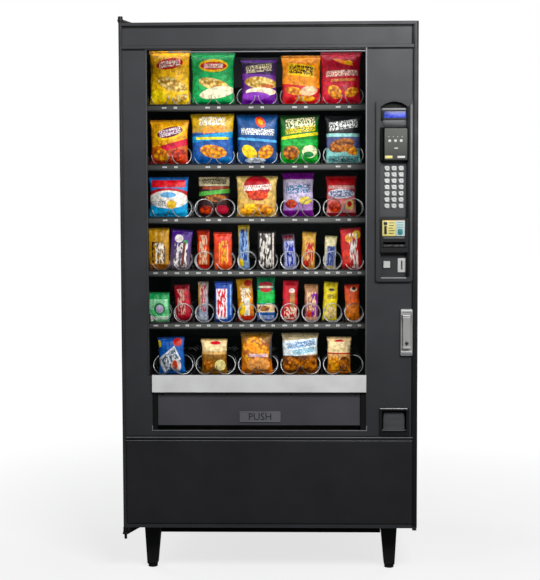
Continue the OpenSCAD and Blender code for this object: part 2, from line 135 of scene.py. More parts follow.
class Shader:
    """A Principled material, built node by node in the object's own coordinates."""

    def __init__(self, name, **constants):
        self.material = bpy.data.materials.new(name)
        self.material.use_nodes = True
        self.tree = self.material.node_tree
        self.bsdf = self.tree.nodes["Principled BSDF"]
        for key, value in constants.items():
            self.bsdf.inputs[key.replace("_", " ")].default_value = value
        self.place = self.node("TexCoord").outputs["Object"]

    def node(self, kind, inputs=(), **settings):
        made = self.tree.nodes.new("ShaderNode" + kind)
        for key, value in settings.items():
            setattr(made, key, value)
        for key, value in dict(inputs).items():
            if isinstance(value, bpy.types.NodeSocket):
                self.tree.links.new(value, made.inputs[key])
            else:
                made.inputs[key].default_value = colour(value)
        return made

    def noise(self, scale, detail=2.0, stretch=None, rough=0.5):
        at = self.place
        if stretch:
            at = self.node("Mapping", {"Vector": at, "Scale": stretch}).outputs[0]
        made = self.node("TexNoise", {"Vector": at, "Scale": scale, "Detail": detail, "Roughness": rough})
        return made.outputs["Fac"]

    def axis(self, k, vector=None):
        """One coordinate of a vector, or of the place on the object: 0 across, 1 back, 2 up."""
        return self.node("SeparateXYZ", {"Vector": self.place if vector is None else vector}).outputs[k]

    def ramp(self, value, low, high, start=0.35, end=0.65):
        made = self.node("ValToRGB", {"Fac": value})
        for element, position, tint in zip(made.color_ramp.elements, (start, end), (low, high)):
            element.position = position
            element.color = colour(tint)
        return made.outputs["Color"]

    def between(self, value, start, end, low=0.0, high=1.0):
        keys = {"Value": value, "From Min": start, "From Max": end, "To Min": low, "To Max": high}
        return self.node("MapRange", keys).outputs["Result"]

    def math(self, operation, a, b=0.0):
        return self.node("Math", {0: a, 1: b}, operation=operation).outputs[0]

    def mix(self, factor, a, b, blend="MIX"):
        return self.node("Mix", {0: factor, 6: a, 7: b}, data_type="RGBA", blend_type=blend).outputs[2]

    def link(self, value, *names):
        for name in names:
            self.tree.links.new(value, self.bsdf.inputs[name])

    def roughness(self, value, low, high, start=0.3, end=0.7):
        self.link(self.between(value, start, end, low, high), "Roughness")

    def bump(self, height, strength, distance):
        keys = {"Height": height, "Strength": strength, "Distance": distance}
        self.link(self.node("Bump", keys).outputs["Normal"], "Normal")


def painted(name, tint, rough=0.5, grain=0.05, size=900, specular=0.5, wear=0.0, painted_shade=None):
    """Powder coat or grained moulding: blotches of tone, fine grain, faint scuffs, and, where given, painted
    shade that scales the tone with height.
    """
    s = Shader(name, Specular_IOR_Level=specular)
    tone = s.ramp(s.noise(5, 3), scaled(tint, 0.9), scaled(tint, 1.1))
    if wear:
        scuff = s.noise(38, 6, stretch=(1, 1, 0.35), rough=0.75)
        tone = s.mix(s.between(scuff, 0.62, 0.75, 0.0, wear), tone, scaled(tint, 2.2))
    # painted shade: the tone scaled with height, towards the given tone at the low end
    if painted_shade:
        low, high, shade = painted_shade
        grey = s.between(s.axis(2), low * MM, high * MM, shade, 1.0)
        grey = s.node("CombineXYZ", {0: grey, 1: grey, 2: grey}).outputs[0]
        tone = s.mix(1.0, tone, grey, "MULTIPLY")
    s.link(tone, "Base Color")
    s.roughness(s.noise(14, 4), rough - 0.05, rough + 0.06)
    s.bump(s.noise(size), grain, 0.0004)
    return s.material


def metal(name, tint, rough, stretch, grain=0.12, metallic=1.0):
    """Metal with fine brushing along the axis that has the small stretch."""
    s = Shader(name, Metallic=metallic)
    brush = s.noise(1500, 3, stretch=stretch)
    s.link(s.ramp(s.noise(9, 4), scaled(tint, 0.88), scaled(tint, 1.08)), "Base Color")
    s.roughness(brush, rough - 0.06, rough + 0.08)
    s.bump(brush, grain, 0.0002)
    return s.material


def glowing(name, low, high, strength, scale):
    s = Shader(name, Roughness=0.4, Emission_Strength=strength)
    s.link(s.ramp(s.noise(scale), low, high), "Base Color", "Emission Color")
    return s.material


def clear_glass():
    s = Shader("window_glass", Alpha=0.045, Specular_IOR_Level=0.5)
    s.link(s.ramp(s.noise(3), "141c1b", "1c2423"), "Base Color")
    s.roughness(s.noise(6, 4), 0.02, 0.07, 0.4, 0.7)
    s.material.blend_method = "BLEND"
    return s.material


def wire_steel():
    """Bright drawn wire, with painted shade that darkens it towards the back of the tray."""
    s = Shader("spiral_wire", Metallic=0.9)
    # painted shade: the wire darkens towards the back of the tray
    shade_towards_back = s.between(s.axis(1), 0.05, 0.13)
    tone = s.ramp(s.noise(9, 4), "9fa1a3", "bbbdbe")
    s.link(s.mix(shade_towards_back, tone, "3a3b3c"), "Base Color")
    s.roughness(s.noise(900, 3), 0.26, 0.38)
    return s.material


def screen_glow():
    """A blue character display, dark along its top and brighter in the line of characters."""
    s = Shader("display_blue", Roughness=0.35, Emission_Strength=0.42)
    top = Box("display_module").z[1]
    shadow = s.between(s.axis(2), (top - 21) * MM, (top - 13) * MM)
    cells = s.ramp(s.noise(160, stretch=(1, 1, 0.4)), "2536a8", "4058d8")
    s.link(s.mix(shadow, cells, "1a2568"), "Base Color", "Emission Color")
    return s.material


# Colour, roughness, grain, its scale, specular level, wear, and painted shade by height as (low mm, high mm,
# tone at low)
PAINTS = {
    # Entries with a painted shade column change tone with height, standing in for how the light falls on them
    "charcoal_paint": ("3b3c40", 0.47, 0.35, 620, 0.5, 0.12, (450, 1300, 0.8)),
    "black_paint": ("28282a", 0.5, 0.3, 620, 0.35, 0.2),
    "tray_paint": ("121213", 0.5, 0.15, 900, 0.25),
    "dark_steel": ("151517", 0.42, 0.25, 700, 0.4, 0.35),
    "fascia_plastic": ("37383b", 0.48, 0.3, 1100, 0.5, 0.05, (1075, 1200, 0.8)),
    "grey_plastic": ("4c4e51", 0.45, 0.25, 1200),
    "black_plastic": ("17181a", 0.38, 0.2, 1200),
    "flap_plastic": ("4d4d52", 0.5, 0.35, 900, 0.45, 0.15),
    "key_plastic": ("e9e9e6", 0.32, 0.1, 1500),
    "label": ("f6e98c", 0.35),
    "print_white": ("e4e4e0",),
    "rubber_seal": ("0c0c0d", 0.65, 0.2, 900, 0.4),
    "ink": ("1c1c1e",),
    "pale_label": ("cfe6e4", 0.35),
    "teal_print": ("2f8f96", 0.4),
    "orange_print": ("e08a2c", 0.4),
    "price_card": ("bdbdb9", 0.5, 0.05, 900, 0.3),
    "strip_paint": ("454644", 0.5, 0.15, 900, 0.3, 0.0, (1000, 1700, 1.25)),
    "deep_black": ("141415", 0.55, 0.2, 620, 0.2),
    "inside_black": ("0b0b0c", 0.6, 0.2, 620, 0.12),
    "edge_black": ("161618", 0.5, 0.25, 620, 0.4),
    "reader_grey": ("63665f", 0.4, 0.2, 1200, 0.5, 0.0, (1395, 1465, 0.45)),
    "rib_grey": ("5a5d60", 0.45, 0.2, 1200),
    "rim_highlight_grey": ("5c5e62", 0.42, 0.25, 1100, 0.5, 0.0, (1000, 1500, 0.45)),
    "jamb_highlight_grey": ("8b8c90", 0.42, 0.2, 1000, 0.5, 0.0, (700, 1740, 0.3)),
    "lip_highlight_grey": ("85868a", 0.42, 0.2, 1000),
    "pale_grey": ("8e8f92", 0.4, 0.15, 1000),
    "pad_grey": ("727277", 0.5, 0.3, 900, 0.45),
    "dark_grey": ("323236", 0.5, 0.2, 900, 0.4),
}
# Colour, roughness, stretch of the brushing, its strength, and how metallic
METALS = {
    "zinc_steel": ("a4a8aa", 0.38, (1, 1, 0.04)),
    "satin_metal": ("d2d2d0", 0.36, (1, 1, 0.03), 0.12, 0.45),
    "sill_aluminium": ("fafaf8", 0.42, (0.02, 1, 1), 0.1, 0.0),
    "pale_metal": ("e6e6e3", 0.42, (1, 1, 0.05), 0.12, 0.3),
}
MATERIALS = {name: painted(name, *facts) for name, facts in PAINTS.items()}
MATERIALS |= {name: metal(name, *facts) for name, facts in METALS.items()}
MATERIALS["spiral_wire"] = wire_steel()
MATERIALS["window_glass"] = clear_glass()
MATERIALS["lamp"] = glowing("lamp", "f4f6ff", "ffffff", 3.0, 20)
MATERIALS["display_blue"] = screen_glow()
MATERIALS["screen_dots"] = glowing("screen_dots", "5468d8", "7a8cf0", 0.3, 60)

# CAD nodes that show as they are and don't take their slot's own material
SHOWN_IN = {"tray_supports": "inside_black", "delivery_bin": "inside_black", "cabinet_lamp": "lamp"}
for name, node in NODES.items():
    for material_slot in node.material_slots:
        material_slot.material = MATERIALS[SHOWN_IN.get(name, SLOT_OF[name])]


# ---- mesh tools


def round_rect(x, z, corner, drawn=0.0, arc=5):
    """Points of a rectangle with round corners, as (x, z), drawn in all round."""
    (x0, x1), (z0, z1) = inset(x, drawn), inset(z, drawn)
    r = max(min(corner - drawn, (x1 - x0) / 2, (z1 - z0) / 2), 0.02)
    points = []
    centres = (x1 - r, z1 - r), (x0 + r, z1 - r), (x0 + r, z0 + r), (x1 - r, z0 + r)
    for quarter, (cx, cz) in enumerate(centres):
        for k in range(arc + 1):
            a = radians(90 * quarter + 90 * k / arc)
            points.append((cx + r * cos(a), cz + r * sin(a)))
    return points


def sections(x, z, corner, profile, arc=5):
    """Loops round a rectangle with round corners; profile is (how far drawn in, y) along the way."""
    return [[(px, y, pz) for px, pz in round_rect(x, z, corner, drawn, arc)] for drawn, y in profile]


def circle(centre, side, other, r, count):
    """Points round a circle that lies in the plane of two directions."""
    angles = [2 * pi * k / count for k in range(count)]
    return [centre + (side * cos(a) + other * sin(a)) * r for a in angles]


@cache
def glyph(text, size, depth):
    """Raised characters as vertices and faces, centred, in the XY plane and facing Z."""
    curve = bpy.data.curves.new("glyph", "FONT")
    curve.body, curve.size, curve.extrude = text, size, depth
    curve.align_x, curve.align_y, curve.resolution_u = "CENTER", "CENTER", 3
    holder = add("glyph", curve)
    mesh = bpy.data.meshes.new_from_object(holder.evaluated_get(bpy.context.evaluated_depsgraph_get()))
    shape = [tuple(v.co) for v in mesh.vertices], [tuple(p.vertices) for p in mesh.polygons]
    bpy.data.objects.remove(holder)
    bpy.data.curves.remove(curve)
    bpy.data.meshes.remove(mesh)
    return shape


class Build:
    """Collects rounded solids in millimetres and turns them into one piece."""

    def __init__(self):
        self.bm = bmesh.new()
        self.index = 0

    def paint(self, index):
        """Picks the material for what follows: 0 is the piece's own, then its extra ones."""
        self.index = index
        return self

    def colour_in(self, faces):
        for face in faces:
            face.material_index = self.index
            face.smooth = True
        return self

    def loft(self, loops, ends=True):
        """Skins a row of closed loops of points, and closes its two ends."""
        rows = [[self.bm.verts.new(p) for p in loop] for loop in loops]
        ring = [(i, (i + 1) % len(rows[0])) for i in range(len(rows[0]))]
        faces = [(a[i], a[j], b[j], b[i]) for a, b in zip(rows, rows[1:]) for i, j in ring]
        if ends:
            faces += [rows[0][::-1], rows[-1]]
        return self.colour_in([self.bm.faces.new(corners) for corners in faces])

    def plate(self, x, y, z, corner=1.0, edge=0.6, steps=()):
        """A plate in the XZ plane with round corners and a rounded front edge.

        steps are (how far drawn in, y) further in on its front face.
        """
        front, back = y
        profile = [(edge * 0.5, back), (0, back - edge * 0.5), (0, front + edge)]
        profile += [(edge * 0.3, front + edge * 0.3), (edge, front), *steps]
        return self.loft(sections(x, z, corner, profile))

    def block(self, x, y, z, edge=0.6):
        """A box with rounded edges all round."""
        first = len(self.bm.faces)
        matrix = Matrix.Translation([mid(a) for a in (x, y, z)])
        matrix = matrix @ Matrix.Diagonal([a[1] - a[0] for a in (x, y, z)] + [1])
        verts = bmesh.ops.create_cube(self.bm, size=1, matrix=matrix)["verts"]
        edges = list(dict.fromkeys(e for v in verts for e in v.link_edges))  # each once, in a fixed order
        bmesh.ops.bevel(self.bm, geom=edges, offset=edge, segments=2, profile=0.5, affect="EDGES")
        self.bm.faces.ensure_lookup_table()
        return self.colour_in(self.bm.faces[first:])

    def turn(self, base, axis, profile, sides=32):
        """A turned solid: profile is (radius, distance along the axis)."""
        base, along = Vector(base), Vector(axis).normalized()
        side = along.orthogonal().normalized()
        other = along.cross(side)
        return self.loft([circle(base + along * t, side, other, max(r, 0.01), sides) for r, t in profile])

    def screw(self, x, y, z, r):
        """A pan head screw facing -Y, with a cross recess in the next material."""
        self.turn((x, y, z), (0, -1, 0), [(r, -0.6), (r, 0.5), (r * 0.8, 1.2), (r * 0.35, 1.6)], 20)
        self.index += 1
        for long, short in ((r * 0.6, r * 0.13), (r * 0.13, r * 0.6)):
            self.block(span(x, -long, long), span(y, -1.66, -1.3), span(z, -short, short), 0.05)
        self.index -= 1
        return self

    def text(self, body, size, x, y, z, depth):
        """Raised characters that face -Y, centred on a point."""
        points, faces = glyph(body, size, depth)
        made = [self.bm.verts.new((x + px, y - pz, z + py)) for px, py, pz in points]
        for face in faces:
            self.bm.faces.new([made[i] for i in face]).material_index = self.index
        return self

    def mesh(self, name, materials, angle=35):
        """The finished mesh in metres, with edges sharper than the angle kept crisp."""
        bmesh.ops.recalc_face_normals(self.bm, faces=self.bm.faces)
        mesh = as_mesh(name, self.bm, materials)
        mesh.transform(Matrix.Scale(MM, 4))
        mesh.set_sharp_from_angle(angle=radians(angle))
        return mesh

    def done(self, name, slot, base=None, extra=(), body="door", replaces=(), angle=35):
        """Makes the piece, in the slot's material or in base where that differs, and in its extra ones."""
        place(name, self.mesh(name, [base or slot, *extra], angle), body, replaces)


def place(name, mesh, body, replaces=(), at=None):
    piece = add(name, mesh)
    if at is not None:
        piece.matrix_world = at
    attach(piece, body)
    if replaces:
        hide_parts(*replaces)
    return piece


def refine(node, width, material=None, segments=2):
    """Stands in for a CAD node with the same shape, its faces merged and its edges rounded."""
    source, slot, name = NODES[node], SLOT_OF[node], node + "_shape"
    bm = bmesh.new()
    bm.from_mesh(source.data)
    bmesh.ops.remove_doubles(bm, verts=bm.verts, dist=2e-6)
    bmesh.ops.dissolve_limit(bm, angle_limit=radians(0.4), verts=bm.verts[:], edges=bm.edges[:])
    mesh = as_mesh(name, bm, [material or slot])
    for layer in ("custom_normal", "normal"):
        if layer in mesh.attributes:
            mesh.attributes.remove(mesh.attributes[layer])
    mesh.shade_smooth()
    piece = place(name, mesh, source["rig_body"], (node,))
    bevel = piece.modifiers.new("edges", "BEVEL")
    bevel.width, bevel.segments = width * MM, segments
    bevel.limit_method, bevel.angle_limit = "ANGLE", radians(32)
    bevel.use_clamp_overlap = True
    piece.modifiers.new("shading", "WEIGHTED_NORMAL").keep_sharp = True


# ---- cabinet and door

# Node, width of its rounded edges, and its material where that isn't the slot's
for row in (
    ("cabinet_shell", 1.6), ("levelling_feet", 0.8), ("hinge_brackets", 0.8), ("door_frame", 1.5),
    ("lower_panel", 1.5), ("sill_strip", 1.2), ("fascia", 1.6), ("keypad_panel", 0.5), ("display_module", 0.8),
    ("coin_cup", 1.0), ("handle_dish", 0.8), ("handle_spindle", 0.4), ("handle_lever", 1.0),
    ("power_unit", 1.0), ("bill_validator", 1.0, "edge_black"), ("coin_return_button", 0.8, "pale_metal"),
    # base_frame takes inside_black, darker than its paint: painted shade under the door
    ("coin_mechanism", 0.4, "pale_metal"), ("base_frame", 1.0, "inside_black"), ("legs", 1.6, "edge_black"),
    ("delivery_bin", 0.8, "deep_black"),
):
    refine(*row)

rear = Box("rear_panel")
across, up = inset(rear.x, 14), inset(rear.z, 12)
spots = [(x, z) for x in np.linspace(*across, 5) for z in up]
spots += [(x, z) for z in np.linspace(*up, 7)[1:-1] for x in across]
screws = Build()
for x, z in spots:
    screws.turn((x, rear.y[1], z), (0, 1, 0), [(4, -0.6), (4, 0.5), (3.2, 1.3), (1.4, 1.7)], 20)
screws.done("rear_screws", "zinc_steel", body="root")

screens = Build()
for low in (248, 1588):  # the lower and the upper vent
    screens.block((-264, 264), span(rear.y[0], -5, -0.2), (low, low + 120), 1.2)
    for k in range(12):
        screens.block((-260, 260), span(rear.y[0], -6.4, -4.5), span(low + 8 + k * 9.5, 0, 4), 0.5)
screens.done("vent_screens", "rubber_seal", body="root")

glass, sill, door, fascia = (Box(node) for node in ("window_glass", "sill_strip", "door_frame", "fascia"))
SKIN = Box("lower_panel").y[0] + 4  # front of the door's sheet round the window
PANEL = SKIN - 0.5  # front of the sunk fields
WINDOW_X = inset(glass.x, 10)
WINDOW_Z = (sill.z[1], glass.z[1] - 8)

gasket = Build()
section = [(-3, 2.4), (-3, 5.2), (1.2, 5.2), (2, 4.2), (1.4, 3), (0.6, 0.6), (0.2, 2.4)]
loops = sections(WINDOW_X, (glass.z[0] + 8, WINDOW_Z[1]), 4, [(drawn, SKIN + y) for drawn, y in section])
gasket.loft(loops + loops[:1], ends=False)
bmesh.ops.remove_doubles(gasket.bm, verts=gasket.bm.verts, dist=1e-4)
gasket.done("window_gasket", "rubber_seal")

trim_y, trim_z = span(SKIN, -1.6, 0.4), inset(WINDOW_Z, -2, -3)
trim = Build()
trim.plate(span(WINDOW_X[0], -5, 1), trim_y, trim_z, 1.5, 1.0)
trim.plate(inset(WINDOW_X, -4, -6), trim_y, span(WINDOW_Z[1], -1, 4), 1.5, 1.0)
trim.done("window_trim", "charcoal_paint")
# Pale strips down the window's right jamb and along its top inside: painted highlight, darker towards the
# bottom
jamb = Build()
jamb.plate(span(WINDOW_X[1], -1, 3.4), span(SKIN, -3.0, 0.4), trim_z, 1.5, 1.2)
jamb.plate(inset(WINDOW_X, 70, 2), span(SKIN, 1.0, 2.2), span(WINDOW_Z[1], -9.5, -5.5), 1.2, 0.5)
jamb.done("window_jamb_highlight", "grey_plastic", "jamb_highlight_grey")

left, right, top = door.x[0] + 13, door.x[1] - 17, door.z[1]
# Dark strips in the door's grooves and under its ridge: painted shade
groove_shade = Build()
for x, z in (
    ((left, right - 0.5), span(top, -17.5, -10.5)),  # over the header
    ((left, right - 0.5), span(top, -89.5, -84.5)),  # under the header
    ((left, right - 6), span(top, -76, -73.4)),  # the header's ridge
    ((right - 6, right - 0.4), (top - 74, top - 11)),  # the header's right end
    ((right - 3.5, right - 0.4), (471, top - 85)),  # down the lock side
    ((left, right - 0.5), (470, 472.5)),  # over the ledge
):
    groove_shade.block(x, span(PANEL, -0.6, 1), z, 0.3)
groove_shade.done("door_groove_shade", "rubber_seal")
# Dark strips on the door's right rim and between the ledge's two lines: painted shade
edge_shade = Build()
edge_shade.block(span(right, 0.5, 13), span(PANEL, -7, -4), (door.z[0] + 14, top - 84), 0.5)
edge_shade.block(span(right, 1, 5), span(PANEL, -7, -4), (top - 83, top - 8), 0.5)
edge_shade.block((left - 1, right), span(PANEL, -6.1, -4), (457.6, 466.0), 0.4)
edge_shade.done("door_edge_shade", "black_paint", "edge_black", angle=50)
# Pale strips along the ledge's two lines and as lips round the delivery recess: painted highlights
ledge = Build()
ledge.block((left - 1, right + 2), span(PANEL, -6.6, -2), (466.4, 468.8), 0.5)
ledge.block((left - 1, right), span(PANEL, -6.4, -2), (455.4, 457.2), 0.5)
recess = inset(sill.x, -2, -3)  # the delivery recess, with a lip along its bottom and up its two sides
ledge.block(recess, span(SKIN, -2, 0.5), (488.4, 491.2), 0.5)
for x in (span(recess[1], -3, 0), span(recess[0], 0, 3)):
    ledge.block(x, span(SKIN, -1.6, 0.5), (490, 506), 0.5)
ledge.done("door_ledge_highlights", "grey_plastic", "lip_highlight_grey", angle=50)

# ---- delivery flap and coin cup

flap = Box("delivery_flap")
front = flap.y[0]
screws = Build()
for part in (0.035, 0.345, 0.655, 0.965):
    screws.screw(flap.x[0] + (flap.x[1] - flap.x[0]) * part, front - 0.4, flap.z[1] - 4.5, 3.0)
screws.done("flap_screws", "dark_steel", extra=("ink",), body="delivery_flap")
refine("delivery_flap", 1.2)
pad_x, pad_z = span(mid(flap.x), -65, 72), span(flap.z[0], 10, 46)
pad = Build()
pad.plate(pad_x, span(front, -2.0, 0.3), pad_z, 2.5, 1.2, [(2.6, front - 2.0), (3.2, front - 1.2)])
pad.paint(1).text("PUSH", 33, mid(pad_x), front - 1.5, mid(pad_z), 0.5)
pad.done("flap_push_pad", "flap_plastic", "pad_grey", ("dark_grey",), body="delivery_flap")

flap = Box("coin_cup_flap")
x, z, front = inset(flap.x, 2), inset(flap.z, 1, 3), flap.y[0]
ribs = Build()
for k in range(15):
    rise = k / 14
    taper = 28 * max(rise - 0.75, 0)  # the top ribs get shorter, between the cup's round corners
    length = x[1] - x[0] - 8 - taper
    start = (x[0] + 4 + taper / 2, front + 0.6, z[0] + (z[1] - z[0] - 6) * rise + 2)
    ribs.turn(start, (1, 0, 0), [(0.5, 0), (1.8, 0.8), (1.8, length - 1), (0.3, length)], 10)
ribs.plate(x, span(front, -2.4, 1.2), span(z[0], -1.5, 3.5), 1.4, 1.0)
ribs.done("cup_flap_ribs", "grey_plastic", "rib_grey", body="coin_cup_flap")
refine("coin_cup_flap", 1.0, "edge_black")
cup = Box("coin_cup")
# A pale metal strip along the top of the cup's frame: painted highlight
lip = Build()
lip.plate(inset(cup.x, 1, 5), span(cup.y[0], -0.8, 1), span(cup.z[1], -4, -1), 1.2, 0.6)
lip.done("cup_frame_highlight", "satin_metal")

# ---- handle

lever, dish = Box("handle_lever"), Box("handle_dish")
front, across, up = lever.y[0], mid(lever.x), lever.z[0] + 18
lock = Build()
barrel = [(7.2, 0), (7.2, 1.2), (6.6, 1.6), (5.4, 1.6), (5.2, 1.0), (0.5, 1.0)]
lock.turn((across, front + 1.6, up), (0, -1, 0), barrel, 40).paint(1)
lock.turn((across, front + 1.0, up), (0, -1, 0), [(4.9, 0), (4.9, 0.9), (4.4, 1.2), (0.4, 1.2)], 32)
lock.block(span(across, -0.7, 0.7), span(front, -0.4, 1), span(up, -3.2, 3.2), 0.1)
lock.done("handle_lock", "dark_steel", extra=("ink",), body="handle_lever")
grip = Build()
steps = [(1.2, front - 0.2), (1.6, front + 0.4)]
grip.plate(inset(lever.x, 3), span(front, -0.2, 1), span(lever.z[1], -34, -8), 1.5, 0.3, steps)
grip.plate(inset(lever.x, 1.5), span(front, -0.6, 1), span(lever.z[0], 3, 7), 1.2, 0.5)
grip.done("handle_grip", "satin_metal", body="handle_lever")
# Bright strips at the top and bottom of the handle's dish: painted highlights
lips = Build()
for z in (span(dish.z[1], -8, -1.5), span(dish.z[0], 11, 16)):
    lips.plate(inset(dish.x, 1.5), span(dish.y[0], -0.8, 1), z, 1.5, 0.8)
lips.paint(1).plate(inset(dish.x, 1.0), span(dish.y[0], -0.4, 1), span(dish.z[0], 1, 10.5), 1.5, 0.8)
lips.done("handle_dish_lip_highlights", "satin_metal", "print_white", ("lip_highlight_grey",))

# ---- selection panel

module = Box("display_module")
front, low, top = module.y[0], module.z[0], module.z[1]
x, z = span(module.x[1], -74, -3), (low + 6.5, top - 11)
screen = Build().plate(x, span(front, 1.2, 2.2), z, 1.5, 0.3).paint(1)
for k, sign in enumerate("0.00"):
    screen.text(sign, 15, x[0] + 21 + k * 9.5, front + 1.1, mid(z), 0.05)
screen.done("display_screen", "display_blue", extra=("screen_dots",))
bars = Build()
bars.plate(inset(module.x, 4), span(front, -1.0, 0.5), span(top, -8, -1.5), 1.5, 0.8).paint(1)
bars.plate(inset(module.x, 7, 2), span(fascia.y[0], 13.5, 19), span(low, -19, -1), 1.0, 0.8)
for k in range(13):
    x = span(module.x[0] + 11.5 + k * 5.4, 0, 2.4)
    bars.block(x, span(fascia.y[0], 12.2, 14), span(low, -16, -4), 0.5)
bars.done("display_bars", "grey_plastic", "pale_grey", ("rib_grey",))

# Dark sheets as painted shade: in the hollow under the fascia's arch, in the gaps beside the modules, and as a
# stripe on the rim's front
half, rise = 44.5, 17.5
radius = (half * half + rise * rise) / (2 * rise)
base, floor_y, centre = top + 1.2, fascia.y[0] + 18, mid(fascia.x) - 1.05
outline = []
for k in range(-12, 13):
    px = half * k / 12
    outline.append((px, base + sqrt(radius**2 - px**2) - radius + rise))
outline += [(half, base - 0.2), (-half, base - 0.2)]
gaps = Build()
gaps.loft(
    [[(centre + px * k, y, base + (pz - base) * k) for px, pz in outline]
     for y, k in ((floor_y + 0.5, 0.99), (floor_y - 0.8, 0.99), (floor_y - 1.2, 0.97))]
)
low, right = fascia.z[0], fascia.x[1]
gaps.block(span(right, -19.5, -16.7), (fascia.y[0] + 3, floor_y + 0.5), (low + 16, base), 0.4)
gaps.block(span(right, -16.8, -9.5), span(fascia.y[0], -0.4, 1), (low + 16, base + 4), 0.4)
gaps.block(span(module.x[0], -0.5, 9), span(front, -0.5, 1), inset(module.z, 1, 9), 0.3)
gaps.done("panel_shadow_gap", "rubber_seal")
# A pale strip on the fascia's right rim: painted highlight, darker towards the bottom
rim = Build().plate(span(right, -9.3, -2), span(fascia.y[0], -0.5, 1), (low + 14, base + 8), 3, 0.5)
rim.done("panel_rim_highlight", "fascia_plastic", "rim_highlight_grey")

reader = Box("card_reader")
refine("card_reader", 1.2, "inside_black", 3)
front = reader.y[0]
x, z = inset(reader.x, 13, 5), inset(reader.z, 3, 4)
face = Build()
face.plate(x, span(front, -0.4, 3.0), z, 3, 1.2, [(2.2, front - 0.4), (2.6, front - 0.1)])
face.done("reader_face", "grey_plastic", "reader_grey")
marks = Build()
for k in range(3):
    marks.plate(span(x[0] + 17 + k * 18.5, -4.4, 4.4), span(front, -0.35, 0.4), span(z[1], -44, -36), 2.2, 0.3)
for k in range(4):
    spot = (x[0] + 14 + k * 14.5, front + 0.2, z[1] - 27)
    marks.turn(spot, (0, -1, 0), [(1.5, 0), (1.5, 0.35), (1.0, 0.6)], 16)
printed = span(front, -0.3, 0.4)
marks.plate(span(x[0], 32, 44), printed, span(z[1], -66, -62), 1.2, 0.2)
marks.plate(span(x[1], -32, -7), printed, span(z[0], 6, 13), 1.2, 0.2)
marks.done("reader_marks", "print_white")
tag = Build().plate(span(x[0], 2, 26), printed, span(z[0], 5, 14), 1.2, 0.2)
tag.done("reader_tag", "label")
guide = Build().plate(span(x[1], -9, -1), span(front, 0, 5), span(z[1], -32, -8), 4, 1.8)
guide.block(span(reader.x[0], 2, 5), span(front, 0.3, 6), inset(z, 3), 0.8)
guide.done("reader_guide", "black_plastic", "deep_black")

# Keys with a dished top: how far drawn in, and how far behind the front
DISH = [(0, 2.0), (0.25, 1.1), (0.9, 0.35), (1.9, 0), (3.2, 0.1), (5.2, 0.45), (7.0, 0.6)]
for k, sign in enumerate("ABCDEF123456789*0#C<>", 1):
    node = f"key_{k}"
    key = Box(node)
    cx, cz, front, back = mid(key.x), mid(key.z), key.y[0], key.y[1]
    profile = [(0, back - 1.7)] + [(drawn, front + y) for drawn, y in DISH]
    cap = Build().loft(sections(span(cx, -7.7, 7.7), span(cz, -7.4, 7.4), 5.6, profile, 6))
    cap.block(key.x, (back - 1.6, back), key.z, 0.3).paint(1)
    cap.text(sign, 8.0, cx, front + 0.42, cz, 0.15)
    cap.done(f"key_cap_{k}", "key_plastic", extra=("ink",), body=node, replaces=(node,))

bill = Box("bill_validator")
front, top = bill.y[0] + 2.5, bill.z[1]
left, right = inset(bill.x, 7, 12)
paper, print_y, fine_y = span(front, -0.5, 0.2), span(front, -0.9, -0.4), span(front, -0.8, -0.4)
label = Build()
label.plate(span(left, 0, 44), paper, span(top, -58, -6), 1.2, 0.2).paint(1)
label.plate((left + 44.3, right), paper, span(top, -58, -6), 1.2, 0.2).paint(2)
label.block(span(left, 6, 14), print_y, span(top, -52, -24), 0.4)
label.plate(span(left, 4, 16), print_y, span(top, -22, -12), 3, 0.2)
for k in range(5):
    label.block((left + 21, left + 40 - 3 * (k % 3)), fine_y, span(top - 16 - k * 8.5, 0, 2.2), 0.3)
label.paint(4).block((left + 1, right - 1), print_y, span(top, -8.5, -6.8), 0.3)
label.paint(3).plate(span(left, 50, 66), fine_y, span(top, -54, -34), 5, 0.2)
for k in range(3):
    label.block((left + 49, right - 5), fine_y, span(top - 15 - k * 7.5, 0, 2.0), 0.3)
label.done("bill_labels", "label", extra=("pale_label", "ink", "teal_print", "orange_print"))
mouth = Build()
mouth.plate((left + 3, right - 1), span(front, -1.6, 0.5), span(top, -67, -61.5), 1.5, 1.0).paint(1)
mouth.plate((left + 5, right - 2), span(bill.y[0], 0, 3), span(bill.z[0], 19.5, 26), 2, 1.0)
mouth.done("bill_mouth_trim", "satin_metal", "rib_grey", ("pale_grey",))
# A pale strip along the fascia's bottom ledge: painted highlight
ledge = Build()
x, z = (bill.x[0] + 3, fascia.x[1] - 20), span(fascia.z[0], 9.5, 14)
ledge.plate(x, span(fascia.y[0], -0.4, 14), z, 1.2, 0.8)
ledge.done("panel_sill_highlight", "grey_plastic", "pale_grey")

# ---- trays: strips, cards, spirals

TRAYS = {t: Box(f"tray_{t}") for t in range(1, 7)}
COLUMNS = 10
STRIP = 23.0  # height of a price strip
RISE = 33.55  # from the tray's floor to the middle of a spiral
COIL_R, WIRE, WIRE_SHOWN = 31.25, 2.0, 1.6  # radii of the spiral, its wire, and the wire as the photo has it
PITCH = {"packet": 67.2, "bar": 44.0}
TURNS = {"packet": 8, "bar": 12}
HUBS_TO = 316  # y where the hubs' shafts end
pair = Box("spiral_1_left"), Box("spiral_1_right")
AXIS_LEFT = pair[0].x[1] - COIL_R - WIRE
AXIS_RIGHT = pair[1].x[0] + COIL_R + WIRE
PITCH_X = AXIS_RIGHT - AXIS_LEFT
FRONT = pair[0].y[0] + WIRE


def kind_of(t):
    """Trays 4 and 5 have a bar spiral in each column, the others packet spirals in pairs."""
    return "bar" if t in (4, 5) else "packet"


def column_x(c):
    return (AXIS_LEFT + AXIS_RIGHT) / 2 + (c - (COLUMNS - 1) / 2) * PITCH_X


def floor_z(t):
    return TRAYS[t].z[0] + STRIP - 4


